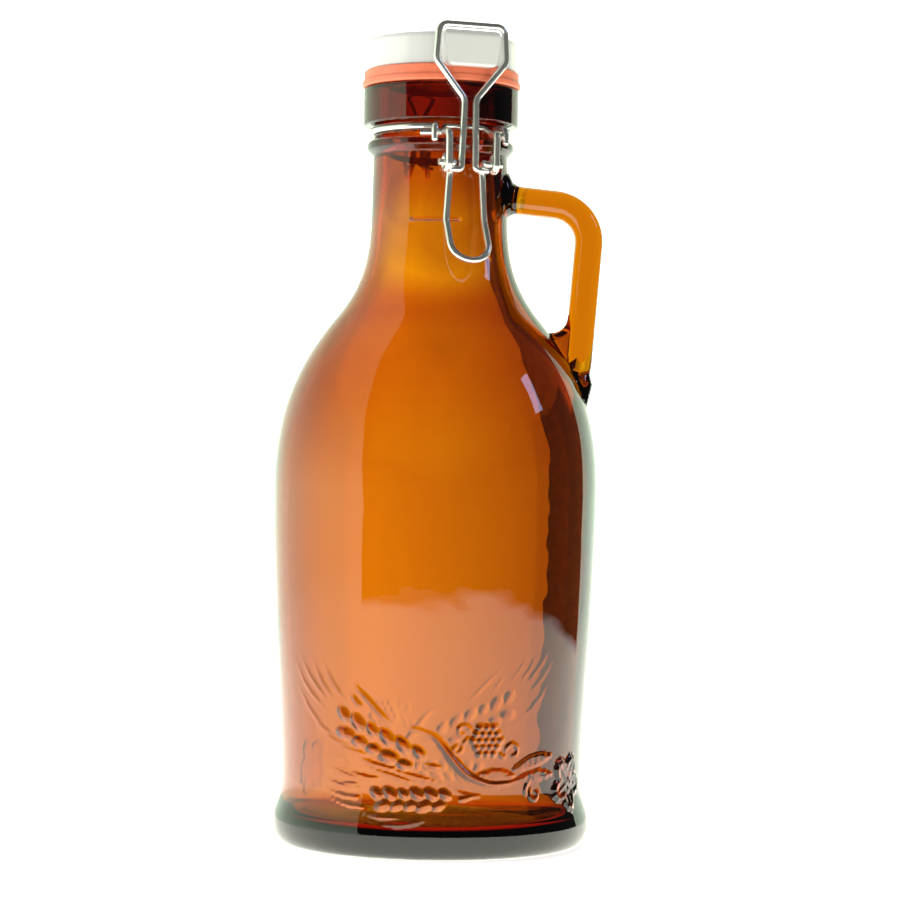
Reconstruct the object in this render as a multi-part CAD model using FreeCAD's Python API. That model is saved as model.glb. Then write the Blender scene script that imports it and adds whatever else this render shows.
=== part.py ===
"""Two-litre swing-clamp growler: a moulded amber glass bottle with a finger
handle, closed by a ceramic lid that a bent-wire clamp pulls onto a rubber
gasket.  Millimetres, +Z up, origin at the centre of the base, handle on +X.
"""
import FreeCAD
import Part
import math
import os

Vector = FreeCAD.Vector
UP = Vector(0, 0, 1)

# ---- glass bottle -------------------------------------------------------
FOOT_RING_IN, FOOT_RING_OUT = 49.0, 55.5     # the flat ring the bottle stands on
PUNT_HEIGHT = 8.0                            # dome pushed up under the base
FLOOR_RADIUS, FLOOR_Z, FLOOR_CROWN = 41.0, 9.0, 15.0
NECK_RADIUS = 26.2                           # outside, under the bead
BORE_RADIUS, BORE_BOTTOM = 21.2, 262.0       # straight stretch inside the mouth
BEAD_RADIUS, BEAD_BOTTOM, BEAD_HALF = 28.6, 267.8, 1.2
GROOVE_RADIUS, GROOVE_BOTTOM, GROOVE_TOP = 25.8, 275.0, 279.5
COLLAR_RADIUS, RIM_Z = 30.3, 294.2
EDGE = 1.0                                   # rounding of the collar's edges
LIP = 1.6                                    # rounding at the top of the bore
FILL_LINE_Z, FILL_LINE_HEIGHT = 241.4, 1.6
FILL_LINE_ANGLE, FILL_LINE_MIDDLE = 42.0, -93.0   # its length, and where it is centred, from +X

# Outside and inside of the wall, foot to neck, as cubic Bezier poles (radius, height).
OUTER_WALL = (
    ((FOOT_RING_OUT, 0.0), (59.8, 0.0), (62.0, 3.8), (62.0, 8.8)),
    ((62.0, 8.8), (62.0, 13.0), (58.7, 17.5), (58.7, 25.5)),
    ((58.7, 25.5), (58.7, 55.0), (62.8, 100.0), (63.0, 138.0)),
    ((63.0, 138.0), (63.0, 168.0), (54.1, 186.7), (39.9, 204.0)),
    ((39.9, 204.0), (29.8, 216.3), (26.9, 227.0), (26.6, 244.0)),
)
INNER_WALL = (
    ((0.0, FLOOR_CROWN), (20.0, FLOOR_CROWN), (30.0, FLOOR_Z), (FLOOR_RADIUS, FLOOR_Z)),
    ((FLOOR_RADIUS, FLOOR_Z), (51.5, FLOOR_Z), (56.6, 9.8), (56.6, 14.0)),
    ((56.6, 14.0), (56.6, 18.5), (55.2, 20.5), (55.2, 28.0)),
    ((55.2, 28.0), (55.2, 55.0), (59.3, 100.0), (59.5, 138.0)),
    ((59.5, 138.0), (59.5, 165.0), (50.1, 184.8), (36.7, 201.3)),
    ((36.7, 201.3), (27.4, 212.8), (23.2, 228.0), (23.0, 244.0)),
)

# ---- glass handle -------------------------------------------------------
HANDLE_THICK, HANDLE_WIDE, HANDLE_ROUND = 11.0, 12.4, 5.0
HANDLE_ROUTE = ((22.0, 252.2), (59.6, 248.4), (54.9, 187.0), (50.5, 168.0))
HANDLE_BENDS = (14.5, 30.0)
WEB_HOLLOW, WEB_CENTRE = 6.5, (44.2, 206.2)      # arc that ends the finger opening
WEB_HALF, WEB_EDGE = 4.6, 3.0
WEB_OUTLINE = ((38.0, 207.0), (54.0, 207.0), (54.0, 184.0), (44.0, 184.0))

# ---- closure ------------------------------------------------------------
# u is the distance outward from the axis, v sideways, z up; the whole closure
# is then turned about the axis, so that its front sits beside the handle.
CLOSURE_TURN = 20.5
WIRE = 2.6                                   # diameter of every main wire
RUN = 0.1                                    # radial clearance of a wire in its eye
EYE = WIRE + RUN                             # eye's centre line from its pin's axis
TIGHT = 1.5                                  # tightest bend of a wire's centre line

LEVER_PIVOT = (33.3, 262.2)                  # (u, z)
LOOP_TILT = math.radians(163.0)              # way the lever's wire leaves its pin
LOOP_PIVOT = (
    LEVER_PIVOT[0] + TIGHT * math.cos(LOOP_TILT) - EYE * math.sin(LOOP_TILT),
    LEVER_PIVOT[1] + TIGHT * math.sin(LOOP_TILT) + EYE * math.cos(LOOP_TILT),
)
YOKE_ARM_V = 9.6
LEVER_LEG_V, LEVER_ELBOW_V = 6.4, 7.7
LEVER_ELBOW = (LOOP_PIVOT[0] - EYE, 241.0)
LEVER_TIP_LENGTH, LEVER_TIP_TILT = 17.8, math.radians(27.0)
LEVER_PIN_END, DRAW_PIN_END = 12.8, 8.0
DRAW_LEG_V = 2.9
WAIST_V, WAIST_Z = 2.2, 286.8                # where the sides of a lid loop come closest
SHOULDER_V, SHOULDER_Z, LOOP_TOP_V = 14.2, 301.3, 13.3
DRAW_TOP = (33.2, 315.0)

BAND_RADIUS = GROOVE_RADIUS + WIRE / 2 + 0.05
BAND_Z = 277.0
HOOK_ANGLES = (-24.0, 29.0)                  # of the band's front hooks, from the clamp
BAR_Z, BAR_CENTRE = 274.2, 30.25             # yoke bars, where the hooks cross them
HOOK_END_Z = 271.5
BAR_IN, BAR_OUT = (10.0, 28.9), (17.4, 25.0)  # (v, u) of the ends of a yoke bar
EYE_WRAP = 260.0                             # how far a yoke's eye turns about its pin
CROSS_WIRE, CROSS_ANGLE = 2.0, 11.5
CROSS_RADIUS = GROOVE_RADIUS + CROSS_WIRE / 2 + 0.05
BAND_EASE, BAND_ARCS = 6.0, 4                # straight lead-in to a bend, in degrees

HINGE_EYE_V, HAIRPIN_ANGLE = 5.2, 14.0       # sideways place of a rear hairpin, and its angle
HINGE_PIVOT = (-33.0, 268.4)
HINGE_PIN_END = 8.2
LUG_BAR = (-33.2, 307.8)                     # top bar of the hinge loop, in the rear lug

# ---- lid and gasket -----------------------------------------------------
LID_RADIUS, LID_BOTTOM, LID_TOP, LID_EDGE = 29.3, 300.7, 313.3, 2.4
LUG_FRONT, LUG_BACK = 34.7, -37.0
LUG_TOP_HALF, LUG_BOTTOM_HALF, LUG_BOTTOM = 11.6, 9.7, 299.3
LUG_CORNER, LUG_FACE_EDGE, LUG_TOP_EDGE = 2.0, 1.2, 2.9
LUG_HOLE = WIRE / 2 + RUN
BOSS_RADIUS, BOSS_LIP, BOSS_BOTTOM = 21.6, 22.4, 295.4
GASKET_RADIUS, GASKET_LIP, GASKET_GAP = 30.3, 30.9, 0.15
GASKET_BOTTOM = RIM_Z + GASKET_GAP
GASKET_LIP_TOP, GASKET_STEP = 296.5, 297.3
GASKET_ROOM = 0.3                            # between the gasket's lip and the lugs


# ---- helpers ------------------------------------------------------------
def profile_point(pair):
    """A (radius, height) pair as a point in the XZ half-plane."""
    return Vector(pair[0], 0, pair[1])


def line(start, end):
    return Part.LineSegment(start, end).toShape()


def bezier(poles):
    curve = Part.BezierCurve()
    curve.setPoles([profile_point(pole) for pole in poles])
    return curve.toShape()


def revolve(edges):
    """Solid of revolution about Z from a closed outline in the XZ half-plane."""
    face = Part.Face(Part.Wire(Part.__sortEdges__(edges)))
    return face.revolve(Vector(0, 0, 0), UP, 360)


def rounded_outline(points, radii):
    """Closed outline of straight sides whose corners are rounded by radii."""
    edges = []
    count = len(points)
    cuts = []
    for index, corner in enumerate(points):
        cuts.append(round_corner(points[index - 1], corner, points[(index + 1) % count], radii[index]))
    for index, (start, arc, end) in enumerate(cuts):
        if arc:
            edges.append(arc)
        following = cuts[(index + 1) % count][0]
        if end.distanceToPoint(following) > 1e-6:
            edges.append(line(end, following))
    return edges


def round_corner(before, corner, after, radius):
    """Tangent arc of a radius at a corner: its start, its edge and its end."""
    arriving = (corner - before).normalize()
    leaving = (after - corner).normalize()
    turn = arriving.getAngle(leaving)
    if radius <= 0 or turn < 1e-6:
        return corner, None, corner
    reach = radius * math.tan(turn / 2)
    start = corner - arriving * reach
    end = corner + leaving * reach
    inward = (leaving - arriving).normalize()
    middle = corner + inward * (radius / math.cos(turn / 2) - radius)
    return start, Part.Arc(start, middle, end).toShape(), end


def bent_path(points, bends):
    """Straight runs joined by tangent arcs; bends holds one radius per inner point."""
    edges = []
    start = points[0]
    for index, radius in enumerate(bends):
        arc_start, arc, arc_end = round_corner(points[index], points[index + 1], points[index + 2], radius)
        if start.distanceToPoint(arc_start) > 1e-6:
            edges.append(line(start, arc_start))
        if arc:
            edges.append(arc)
        start = arc_end
    if start.distanceToPoint(points[-1]) > 1e-6:
        edges.append(line(start, points[-1]))
    return Part.Wire(edges)


def bent_wire(points, bends, diameter=WIRE):
    """Round wire along a bent path."""
    path = bent_path(points, bends)
    section = Part.Wire(Part.makeCircle(diameter / 2, points[0], points[1] - points[0]))
    return path.makePipeShell([section], True, False)


def with_round_ends(wire, ends, diameter=WIRE):
    """The wire with a half ball on each of the free ends listed."""
    for end in ends:
        wire = wire.fuse(Part.makeSphere(diameter / 2, end))
    return wire.removeSplitter()


def at(v, u, z):
    """Point of the closure, before it is turned into place: front is -Y."""
    return Vector(v, -u, z)


def around(radius, angle, z):
    """Point at an angle from the closure's front, in degrees, towards +v."""
    turn = math.radians(angle)
    return at(radius * math.sin(turn), radius * math.cos(turn), z)


def mirrored(points):
    """The same points on the other side of the closure, in reverse order."""
    return [Vector(-point.x, point.y, point.z) for point in reversed(points)]


def placed(shape):
    """The shape turned about Z to the closure's place beside the handle."""
    shape.rotate(Vector(0, 0, 0), UP, CLOSURE_TURN)
    return shape


# ---- glass --------------------------------------------------------------
def rim_edges():
    """Outside of the bead, groove and collar, then the lip down to the bore."""
    bead_middle = (BEAD_BOTTOM + GROOVE_BOTTOM) / 2
    points = [profile_point(pair) for pair in (
        OUTER_WALL[-1][-1],
        (NECK_RADIUS, BEAD_BOTTOM),
        (BEAD_RADIUS, bead_middle - BEAD_HALF),
        (BEAD_RADIUS, bead_middle + BEAD_HALF),
        (GROOVE_RADIUS, GROOVE_BOTTOM),
        (GROOVE_RADIUS, GROOVE_TOP),
        (COLLAR_RADIUS, GROOVE_TOP),
        (COLLAR_RADIUS, RIM_Z),
        (BORE_RADIUS, RIM_Z),
        (BORE_RADIUS, BORE_BOTTOM),
    )]
    path = bent_path(points, (1.5, 1.2, 1.2, 0.6, 0.8, EDGE, EDGE, LIP))
    return path.Edges


def punt_edges():
    """Underside: the standing ring and the dome inside it."""
    ring_in = profile_point((FOOT_RING_IN, 0))
    dome = bezier(((FOOT_RING_IN, 0), (FOOT_RING_IN - 9, 0), (24, PUNT_HEIGHT), (0, PUNT_HEIGHT)))
    return [line(profile_point((FOOT_RING_OUT, 0)), ring_in), dome]


def outer_edges():
    return [bezier(poles) for poles in OUTER_WALL] + rim_edges()


def bottle():
    inner_top = profile_point((BORE_RADIUS, BORE_BOTTOM))
    edges = outer_edges() + punt_edges() + [bezier(poles) for poles in INNER_WALL]
    edges.append(line(profile_point(INNER_WALL[-1][-1]), inner_top))
    edges.append(line(profile_point((0, PUNT_HEIGHT)), profile_point((0, FLOOR_CROWN))))
    return revolve(edges).fuse(fill_line()).removeSplitter()


def fill_line():
    """Thin raised bar on the neck that marks the nominal fill."""
    low = FILL_LINE_Z - FILL_LINE_HEIGHT / 2
    inner, outer = NECK_RADIUS - 0.6, NECK_RADIUS + 0.75
    corners = [profile_point(pair) for pair in (
        (inner, low), (outer, low + 0.4), (outer, low + FILL_LINE_HEIGHT - 0.4),
        (inner, low + FILL_LINE_HEIGHT))]
    corners.append(corners[0])
    bar = Part.Face(Part.makePolygon(corners)).revolve(Vector(0, 0, 0), UP, FILL_LINE_ANGLE)
    bar.rotate(Vector(0, 0, 0), UP, FILL_LINE_MIDDLE - FILL_LINE_ANGLE / 2)
    return bar


def outer_body():
    """The bottle's outside as a filled solid, to trim the handle's roots."""
    axis_top = profile_point((0, BORE_BOTTOM))
    edges = outer_edges()
    edges.append(line(profile_point((BORE_RADIUS, BORE_BOTTOM)), axis_top))
    edges.append(line(axis_top, profile_point((0, 0))))
    edges.append(line(profile_point((0, 0)), profile_point((FOOT_RING_OUT, 0))))
    return revolve(edges)


def handle():
    points = [profile_point(pair) for pair in HANDLE_ROUTE]
    path = bent_path(points, HANDLE_BENDS)
    along = (points[1] - points[0]).normalize()
    across = along.cross(Vector(0, 1, 0))
    half_thick, half_wide = HANDLE_THICK / 2, HANDLE_WIDE / 2
    corners = [points[0] + across * (half_thick * a) + Vector(0, half_wide * b, 0)
               for a, b in ((-1, -1), (1, -1), (1, 1), (-1, 1))]
    section = Part.Wire(Part.__sortEdges__(rounded_outline(corners, [HANDLE_ROUND] * 4)))
    swept = path.makePipeShell([section], True, False)
    return swept.fuse(handle_web()).cut(outer_body())


def handle_web():
    """Glass that fills the sharp corner under the finger opening."""
    corners = [profile_point(pair) for pair in WEB_OUTLINE]
    face = Part.Face(Part.makePolygon(corners + corners[:1]))
    face.translate(Vector(0, -WEB_HALF, 0))
    hollow = Part.makeCylinder(
        WEB_HOLLOW, 2 * WEB_HALF, Vector(WEB_CENTRE[0], -WEB_HALF, WEB_CENTRE[1]), Vector(0, 1, 0))
    block = face.extrude(Vector(0, 2 * WEB_HALF, 0)).cut(hollow)
    rims = [edge for edge in block.Edges
            if isinstance(edge.Curve, Part.Circle) and edge.Curve.Radius < WEB_HOLLOW + 0.1]
    return block.makeFillet(WEB_EDGE, rims)


# ---- lid and gasket -----------------------------------------------------
def lug(reach):
    """Lug from inside the disc out to reach: a rounded trapezoid from the front,
    with a well rounded top edge for the clamp's wire to roll over."""
    root = math.copysign(LID_RADIUS - 6, reach)
    face = [at(v, root, z) for v, z in (
        (-LUG_BOTTOM_HALF, LUG_BOTTOM), (LUG_BOTTOM_HALF, LUG_BOTTOM),
        (LUG_TOP_HALF, LID_TOP), (-LUG_TOP_HALF, LID_TOP))]
    from_front = Part.Face(Part.Wire(Part.__sortEdges__(rounded_outline(face, [LUG_CORNER] * 4))))
    side = [at(-LUG_TOP_HALF - 1, u, z) for u, z in (
        (root, LUG_BOTTOM), (reach, LUG_BOTTOM), (reach, LID_TOP), (root, LID_TOP))]
    radii = (0, LUG_FACE_EDGE, LUG_TOP_EDGE, 0)
    from_side = Part.Face(Part.Wire(Part.__sortEdges__(rounded_outline(side, radii))))
    block = from_front.extrude(at(0, reach - root, 0)).common(
        from_side.extrude(at(2 * LUG_TOP_HALF + 2, 0, 0)))
    gasket_room = Part.makeCylinder(
        GASKET_LIP + GASKET_ROOM, LID_BOTTOM - GASKET_BOTTOM, Vector(0, 0, GASKET_BOTTOM))
    return block.cut(gasket_room)


def lid():
    points = [profile_point(pair) for pair in (
        (0, LID_TOP), (LID_RADIUS, LID_TOP), (LID_RADIUS, LID_BOTTOM), (BOSS_RADIUS, LID_BOTTOM),
        (BOSS_RADIUS, BOSS_BOTTOM + 1.6), (BOSS_LIP, BOSS_BOTTOM + 1.0), (BOSS_LIP - 0.8, BOSS_BOTTOM),
        (0, BOSS_BOTTOM))]
    edges = bent_path(points, (LID_EDGE, 0.8, 0, 0.3, 0.3, 0.5)).Edges
    edges.append(line(points[-1], points[0]))
    body = revolve(edges).fuse(lug(LUG_FRONT)).fuse(lug(LUG_BACK)).removeSplitter()
    hole = Part.makeCylinder(LUG_HOLE, 60, at(-30, LUG_BAR[0], LUG_BAR[1]), Vector(1, 0, 0))
    return placed(body.cut(hole))


def gasket():
    points = [profile_point(pair) for pair in (
        (BOSS_RADIUS, LID_BOTTOM), (GASKET_RADIUS, LID_BOTTOM), (GASKET_RADIUS, GASKET_STEP),
        (GASKET_LIP, GASKET_LIP_TOP), (GASKET_LIP, GASKET_BOTTOM), (BOSS_LIP, GASKET_BOTTOM),
        (BOSS_LIP, BOSS_BOTTOM + 1.0), (BOSS_RADIUS, BOSS_BOTTOM + 1.6))]
    return placed(revolve(rounded_outline(points, (0, 0.5, 0.8, 0.6, 0.9, 0.4, 0.3, 0.3))))


# ---- bent wires ---------------------------------------------------------
def arc_corners(centre, reach, v, start, sweep, count):
    """Corners that a wire of bend radius reach turns at, to run round centre
    (u, z) in the plane of v, from the angle start through sweep degrees."""
    step = sweep / count
    corner = reach / math.cos(math.radians(step / 2))
    turns = [math.radians(start + step * (index + 0.5)) for index in range(count)]
    return [at(v, centre[0] + corner * math.cos(turn), centre[1] + corner * math.sin(turn))
            for turn in turns]


def band_side(hook_angle):
    """Half of the neck band, from its front hook round to the rear centre."""
    sign = math.copysign(1, hook_angle)
    hook_radius = BAR_CENTRE + EYE
    points = [around(hook_radius, hook_angle, HOOK_END_Z),
              around(hook_radius, hook_angle, BAND_Z),
              around(BAND_RADIUS / math.cos(math.radians(BAND_EASE)), hook_angle, BAND_Z)]
    bends = [2.4, TIGHT]
    first = abs(hook_angle) + BAND_EASE
    last = 180 - HAIRPIN_ANGLE - BAND_EASE
    step = (last - first) / BAND_ARCS
    for index in range(BAND_ARCS):
        angle = sign * (first + step * (index + 0.5))
        points.append(around(BAND_RADIUS / math.cos(math.radians(step / 2)), angle, BAND_Z))
        bends.append(BAND_RADIUS)
    points.append(around(BAND_RADIUS / math.cos(math.radians(BAND_EASE)),
                         sign * (180 - HAIRPIN_ANGLE), BAND_Z))
    bends.append(TIGHT)
    outer_v, inner_v = abs(points[-1].x), HINGE_EYE_V * 2 - abs(points[-1].x)
    back, front = HINGE_PIVOT[0] - EYE, HINGE_PIVOT[0] + EYE
    bottom = HINGE_PIVOT[1] - EYE
    for v, u, z, bend in (
            (outer_v, back, BAND_Z, 2.4), (outer_v, back, bottom, EYE),
            (inner_v, front, bottom, EYE), (inner_v, front, BAND_Z, TIGHT),
            (inner_v, -BAND_RADIUS, BAND_Z, TIGHT)):
        points.append(at(sign * v, u, z))
        bends.append(bend)
    return points, bends


def neck_band():
    """Wire in the groove, with a hook at each front end and two rear hairpins."""
    left, left_bends = band_side(HOOK_ANGLES[0])
    right, right_bends = band_side(HOOK_ANGLES[1])
    wire = bent_wire(left + right[::-1], left_bends + right_bends[::-1])
    return placed(with_round_ends(wire, (left[0], right[0])))


def front_yoke():
    """Two eyed arms that hang from the band's hooks, and the wire between them."""
    bar_in, bar_out = BAR_IN, BAR_OUT
    arm_u = LEVER_PIVOT[0] + EYE
    points = [at(bar_out[0], bar_out[1], BAR_Z), at(bar_in[0], bar_in[1], BAR_Z),
              at(YOKE_ARM_V, arm_u, BAR_Z)]
    eye = arc_corners(LEVER_PIVOT, EYE, YOKE_ARM_V, 0, -EYE_WRAP, 4)
    last = math.radians(-EYE_WRAP)
    end = at(YOKE_ARM_V, LEVER_PIVOT[0] + EYE * math.cos(last), LEVER_PIVOT[1] + EYE * math.sin(last))
    arm = bent_wire(points + eye + [end], [2.2, 2.4] + [EYE] * 4)
    other = arm.mirror(Vector(0, 0, 0), Vector(1, 0, 0))
    corner = CROSS_RADIUS / math.cos(math.radians(CROSS_ANGLE / 2))
    cross = [at(bar_in[0] - 0.1, bar_in[1] - 0.3, BAR_Z + 0.6),
             around(corner, CROSS_ANGLE * 1.5, BAND_Z),
             around(corner, CROSS_ANGLE / 2, BAND_Z)]
    cross += mirrored(cross)
    bends = [1.2, CROSS_RADIUS, CROSS_RADIUS, 1.2]
    tie = bent_wire(cross, bends, CROSS_WIRE)
    return placed(arm.fuse(other).fuse(tie))


def lever():
    """U-shaped wire whose ends are its own hinge pins, with a hooked eye beside each."""
    pin = [at(LEVER_PIN_END, *LEVER_PIVOT), at(LEVER_LEG_V, *LEVER_PIVOT)]
    start = math.degrees(LOOP_TILT) - 90
    eye = arc_corners(LOOP_PIVOT, EYE, LEVER_LEG_V, start, 180 - start, 2)
    elbow = at(LEVER_ELBOW_V, *LEVER_ELBOW)
    tip = at(LEVER_ELBOW_V, LEVER_ELBOW[0] + LEVER_TIP_LENGTH * math.sin(LEVER_TIP_TILT),
             LEVER_ELBOW[1] - LEVER_TIP_LENGTH * math.cos(LEVER_TIP_TILT))
    side = pin + eye + [elbow, tip]
    bends = [TIGHT, EYE, EYE, 3.5, LEVER_ELBOW_V - 0.1]
    return placed(bent_wire(side + mirrored(side), bends + bends[::-1]))


def lid_loop(pivot, pin_end, leg_v, top):
    """Wire loop from its two pins up to a wide top bar, waisted in between."""
    def on_plane(v, z):
        share = (z - pivot[1]) / (top[1] - pivot[1])
        return at(v, pivot[0] + share * (top[0] - pivot[0]), z)
    side = [at(pin_end, *pivot), at(leg_v, *pivot), on_plane(WAIST_V, WAIST_Z),
            on_plane(SHOULDER_V, SHOULDER_Z), on_plane(LOOP_TOP_V, top[1])]
    corner = min(3.4, (top[1] - SHOULDER_Z) / 2)
    bends = [TIGHT, 5.0, corner + 1.6, corner]
    return placed(bent_wire(side + mirrored(side), bends + bends[::-1]))


NODES = {
    "bottle": bottle,
    "handle": handle,
    "lid": lid,
    "gasket": gasket,
    "neck_band": neck_band,
    "front_yoke": front_yoke,
    "lever": lever,
    "draw_loop": lambda: lid_loop(LOOP_PIVOT, DRAW_PIN_END, DRAW_LEG_V, DRAW_TOP),
    "hinge_loop": lambda: lid_loop(HINGE_PIVOT, HINGE_PIN_END, WAIST_V, LUG_BAR),
}

if __name__ == "__main__":
    os.makedirs("parts", exist_ok=True)
    for name, make in NODES.items():
        make().exportStep("parts/" + name + ".step")
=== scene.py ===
"""Amber growler with a swing-clamp lid: finishes, staging, light and camera
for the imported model.  Metres, +Z up, the camera looks along +Y.
"""
import math

import bpy
import bmesh
import numpy as np
from mathutils import Matrix, Vector


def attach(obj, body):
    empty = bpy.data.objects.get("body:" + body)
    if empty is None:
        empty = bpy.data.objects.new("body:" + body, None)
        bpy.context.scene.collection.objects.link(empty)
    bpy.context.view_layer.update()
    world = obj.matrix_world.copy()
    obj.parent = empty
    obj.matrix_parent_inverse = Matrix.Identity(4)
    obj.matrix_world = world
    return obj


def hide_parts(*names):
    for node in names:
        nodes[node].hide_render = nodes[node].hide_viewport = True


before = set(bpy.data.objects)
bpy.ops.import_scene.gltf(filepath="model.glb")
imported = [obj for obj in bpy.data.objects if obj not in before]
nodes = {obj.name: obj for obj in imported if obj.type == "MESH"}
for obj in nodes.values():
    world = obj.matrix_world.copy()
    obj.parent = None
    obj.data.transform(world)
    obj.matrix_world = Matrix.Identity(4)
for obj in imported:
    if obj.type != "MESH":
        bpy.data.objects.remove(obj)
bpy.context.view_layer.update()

MM = 0.001
WHITE = 2.4            # radiance of the white backdrop and sky

# ---- the bottle's profile, in millimetres: (radius, height) ------------------
WIDEST_Z, NECK_RADIUS, NECK_TOP = 138.0, 26.6, 244.0
INSIDE_RADIUS = 25.0                        # within it, points of the neck are on the inside
FOOT_RING_IN, FOOT_RING_OUT, PUNT_HEIGHT = 49.0, 55.5, 8.0
FOOT_LOOPS = (51.2, 53.4)                   # mesh loops on the flat of the foot ring
OUTER_WALL = (
    ((FOOT_RING_OUT, 0.0), (59.8, 0.0), (62.0, 3.8), (62.0, 8.8)),
    ((62.0, 8.8), (62.0, 13.0), (58.7, 17.5), (58.7, 25.5)),
    ((58.7, 25.5), (58.7, 55.0), (62.8, 100.0), (63.0, WIDEST_Z)),
    ((63.0, WIDEST_Z), (63.0, 168.0), (54.1, 186.7), (39.9, 204.0)),
    ((39.9, 204.0), (29.8, 216.3), (26.9, 227.0), (NECK_RADIUS, NECK_TOP)),
)
INNER_WALL = (
    ((0.0, 15.0), (20.0, 15.0), (30.0, 9.0), (41.0, 9.0)),
    ((41.0, 9.0), (51.5, 9.0), (56.6, 9.8), (56.6, 14.0)),
    ((56.6, 14.0), (56.6, 18.5), (55.2, 20.5), (55.2, 28.0)),
    ((55.2, 28.0), (55.2, 55.0), (59.3, 100.0), (59.5, WIDEST_Z)),
    ((59.5, WIDEST_Z), (59.5, 165.0), (50.1, 184.8), (36.7, 201.3)),
    ((36.7, 201.3), (27.4, 212.8), (23.2, 228.0), (23.0, NECK_TOP)),
)
RIM = ((NECK_RADIUS, NECK_TOP), (26.2, 267.8), (28.6, 270.2), (28.6, 272.6), (25.8, 275.0),
       (25.8, 279.5), (30.3, 279.5), (30.3, 294.2), (21.2, 294.2), (21.2, 262.0))
RIM_BENDS = (1.5, 1.2, 1.2, 0.6, 0.8, 1.0, 1.0, 1.6)
FILL_LINE_Z, FILL_LINE_HEIGHT = 241.4, 0.75
FILL_LINE_AZIMUTH, FILL_LINE_SPAN = -3.0, 21.0      # its middle, and degrees to either side
HANDLE_THICK, HANDLE_WIDE, HANDLE_ROUND = 11.0, 12.4, 5.0
HANDLE_ROUTE = ((22.0, 252.2), (59.6, 248.4), (54.9, 187.0), (50.5, 168.0))
HANDLE_BENDS = (14.5, 30.0)
HANDLE_MIDDLE_Z = 220.0                     # divides the upper root from the lower
UPPER_FILLET, LOWER_FILLET = 4.5, 2.0       # where the handle spreads into the wall
WEB_CENTRE, WEB_HOLLOW = (44.2, 206.2), 6.5
WEB_HALF, WEB_EDGE = 4.6, 3.0               # half of its thickness, and its rounded edge
WEB_OUTLINE = ((54.5, 206.5), (54.0, 184.0), (44.0, 184.0), (36.0, 200.0))
CORE_LOW, CORE_HIGH, CORE_INSET = 140.0, 262.0, 1.7     # what is cut from the handle's roots
RELIEF_LOW, RELIEF_HIGH = 11.5, 79.0        # heights between which the glass carries relief
RELIEF_RADIUS = 59.5                        # wall radius that turns an azimuth into a distance
RELIEF_FADE = 1.5                           # height over which the relief fades in and out
COLUMNS = 288                               # round the plain wall; the relief has twice as many
RELIEF_ROWS, BODY_ROWS, SHOULDER_ROWS, FILL_LINE_ROWS = 102, 16, 43, 15


def bezier(poles, count):
    """Points along a cubic curve."""
    t = np.linspace(0, 1, count + 1)[:, None]
    p = np.array(poles)
    return ((1 - t) ** 3 * p[0] + 3 * (1 - t) ** 2 * t * p[1]
            + 3 * (1 - t) * t ** 2 * p[2] + t ** 3 * p[3])


def rounded_path(points, bends, step):
    """Straight runs joined by tangent arcs, as points; step is the turn per arc point."""
    points = [np.array(point, float) for point in points]
    out = [points[0]]
    for before, corner, after, radius in zip(points, points[1:], points[2:], bends):
        arriving = (corner - before) / np.linalg.norm(corner - before)
        leaving = (after - corner) / np.linalg.norm(after - corner)
        turn = math.acos(float(np.clip(arriving @ leaving, -1, 1)))
        reach = radius * math.tan(turn / 2)
        inward = leaving - arriving
        centre = corner + inward / np.linalg.norm(inward) * radius / math.cos(turn / 2)
        start, end = corner - arriving * reach - centre, corner + leaving * reach - centre
        count = max(2, math.ceil(turn / math.radians(step)))
        for index in range(count + 1):
            share = index / count
            blend = (math.sin((1 - share) * turn) * start + math.sin(share * turn) * end)
            out.append(centre + blend / math.sin(turn))
    out.append(points[-1])
    return np.array(out)


def spaced(points, longest):
    """The same path with extra points, so that no run is longer than longest."""
    out = [points[0]]
    for a, b in zip(points, points[1:]):
        length = float(np.linalg.norm(b - a))
        if length < 1e-6:
            continue
        count = max(1, math.ceil(length / longest))
        out += [a + (b - a) * (index + 1) / count for index in range(count)]
    return np.array(out)


# ---- relief on the wall: wheat, vine and grapes ------------------------------
def ridge(s, z, path, width, height, taper=(0.25, 0.25)):
    """Raised line along a path of (s, z) points, tapering towards its ends."""
    path = [np.array(point, float) for point in path]
    lengths = [float(np.linalg.norm(b - a)) for a, b in zip(path, path[1:])]
    total = sum(lengths)
    best = np.zeros_like(s)
    run = 0.0
    for a, b, length in zip(path, path[1:], lengths):
        unit = (b - a) / length
        along = np.clip((s - a[0]) * unit[0] + (z - a[1]) * unit[1], 0, length)
        away = np.hypot(s - a[0] - along * unit[0], z - a[1] - along * unit[1])
        share = (run + along) / total
        slim = np.clip(np.minimum(share / taper[0], (1 - share) / taper[1]), 0.3, 1)
        best = np.maximum(best, height * slim * np.clip(1 - (away / (width * slim / 2)) ** 2, 0, 1))
        run += length
    return best


def smooth_path(points, count=8):
    """Catmull-Rom curve through points."""
    p = np.array([points[0]] + list(points) + [points[-1]], float)
    out = []
    for index in range(1, len(p) - 2):
        for t in np.linspace(0, 1, count, endpoint=False):
            a, b, c, d = p[index - 1:index + 3]
            out.append(0.5 * (2 * b + (c - a) * t + (2 * a - 5 * b + 4 * c - d) * t * t
                              + (3 * b - a - 3 * c + d) * t ** 3))
    out.append(p[-2])
    return out


def dome(s, z, centre, half_length, half_width, tilt, height):
    """Raised grain or berry: an ellipse whose long axis is tilted, in degrees."""
    turn = math.radians(tilt)
    u = (s - centre[0]) * math.cos(turn) + (z - centre[1]) * math.sin(turn)
    v = (z - centre[1]) * math.cos(turn) - (s - centre[0]) * math.sin(turn)
    inside = np.clip(1 - (u / half_length) ** 2 - (v / half_width) ** 2, 0, 1)
    return height * inside ** 0.75


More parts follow.
